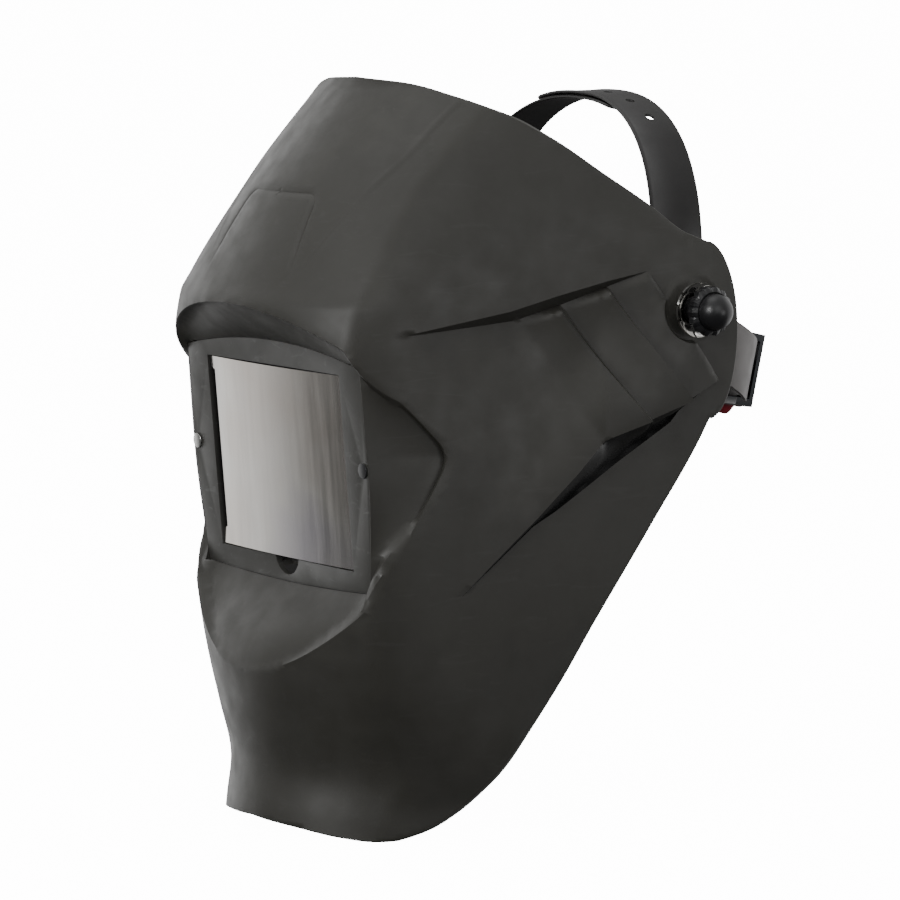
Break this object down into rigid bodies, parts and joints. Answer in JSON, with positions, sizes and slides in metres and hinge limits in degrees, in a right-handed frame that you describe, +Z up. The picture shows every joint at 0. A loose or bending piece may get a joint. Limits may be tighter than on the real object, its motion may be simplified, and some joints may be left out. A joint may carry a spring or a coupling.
{
  "type": "welding helmet",
  "caption": "Flip-up welding helmet: moulded visor shell with a bowed cover lens and filter cassette, tension-knob pivots and a ratchet headgear with a crown strap.",
  "frame": {"origin": "middle of the pivot axis that joins the visor to the headgear, where the wearer's head sits", "axes": "+X the wearer's left, along the pivot axis; -Y the way the lens faces; +Z up"},
  "size_m": [0.252, 0.2982, 0.3505],
  "materials": {
    "shell_plastic": "fine moulded texture",
    "frame_plastic": "satin",
    "cover_plastic": "clear polycarbonate, glossy",
    "filter_glass": "dark welding filter",
    "clear_plate": "clear, glossy",
    "gasket_rubber": "matte",
    "chrome": "polished",
    "zinc_steel": "zinc plated",
    "fibre": "pressed fibre",
    "black_plastic": "satin black",
    "band_plastic": "flexible moulded strap",
    "red_plastic": "satin red",
    "pad_foam": "foam pad with woven cover"
  },
  "bodies": {
    "headgear": {"headband": "band_plastic", "sweatband": "pad_foam", "pivot_stud_left": "zinc_steel", "pivot_stud_right": "zinc_steel", "hanger_plate_left": "black_plastic", "hanger_plate_right": "black_plastic", "hanger_rivet_left": "zinc_steel", "hanger_rivet_right": "zinc_steel", "tilt_stop_plate_left": "black_plastic", "tilt_stop_plate_right": "black_plastic", "friction_washer_left": "fibre", "friction_washer_right": "fibre", "crown_strap_left": "band_plastic", "crown_strap_right": "band_plastic", "ratchet_base": "band_plastic", "ratchet_cover": "band_plastic", "detent_spring": "zinc_steel", "nape_pad": "pad_foam"},
    "visor": {"helmet_shell": "shell_plastic", "lens_frame": "frame_plastic", "cover_lens": "cover_plastic", "lens_gasket": "gasket_rubber", "filter_glass": "filter_glass", "inner_cover_lens": "clear_plate", "frame_pin_left": "black_plastic", "frame_pin_right": "zinc_steel", "spring_cup_left": "chrome", "spring_cup_right": "chrome"},
    "retainer": {"glass_retainer": "frame_plastic"},
    "left_knob": {"tension_knob_left": "black_plastic"},
    "right_knob": {"tension_knob_right": "black_plastic"},
    "ratchet": {"ratchet_pinion": "black_plastic", "ratchet_knob": "red_plastic", "ratchet_screw": "zinc_steel"},
    "left_tail": {"nape_tail_left": "band_plastic"},
    "right_tail": {"nape_tail_right": "band_plastic"}
  },
  "joints": [
    {"name": "visor_tilt", "type": "hinge", "parent": "headgear", "child": "visor", "pos_m": [0, 0, 0], "axis": [-1, 0, 0], "range_deg": [0, 75]},
    {"name": "retainer_swing", "type": "hinge", "parent": "visor", "child": "retainer", "pos_m": [0, -0.1522, -0.11508], "axis": [-1, 0, 0], "range_deg": [0, 80]},
    {"name": "left_knob_turn", "type": "hinge", "parent": "headgear", "child": "left_knob", "pos_m": [0.11, 0, 0], "axis": [1, 0, 0], "range_deg": [0, 270]},
    {"name": "right_knob_turn", "type": "hinge", "parent": "headgear", "child": "right_knob", "pos_m": [-0.11, 0, 0], "axis": [-1, 0, 0], "range_deg": [0, 270]},
    {"name": "ratchet_turn", "type": "hinge", "parent": "headgear", "child": "ratchet", "pos_m": [0, 0.0851, -0.0434], "axis": [0, -0.9744, 0.225], "range_deg": [0, 60]},
    {"name": "left_tail_slide", "type": "slide", "parent": "headgear", "child": "left_tail", "axis": [-1, 0, 0], "range_m": [0, 0.0048]},
    {"name": "right_tail_slide", "type": "slide", "parent": "headgear", "child": "right_tail", "axis": [1, 0, 0], "range_m": [0, 0.0048]}
  ],
  "couplings": [
    {"joint": "left_tail_slide", "follows": "ratchet_turn", "m_per_rad": 0.0045},
    {"joint": "right_tail_slide", "follows": "ratchet_turn", "m_per_rad": 0.0045}
  ]
}
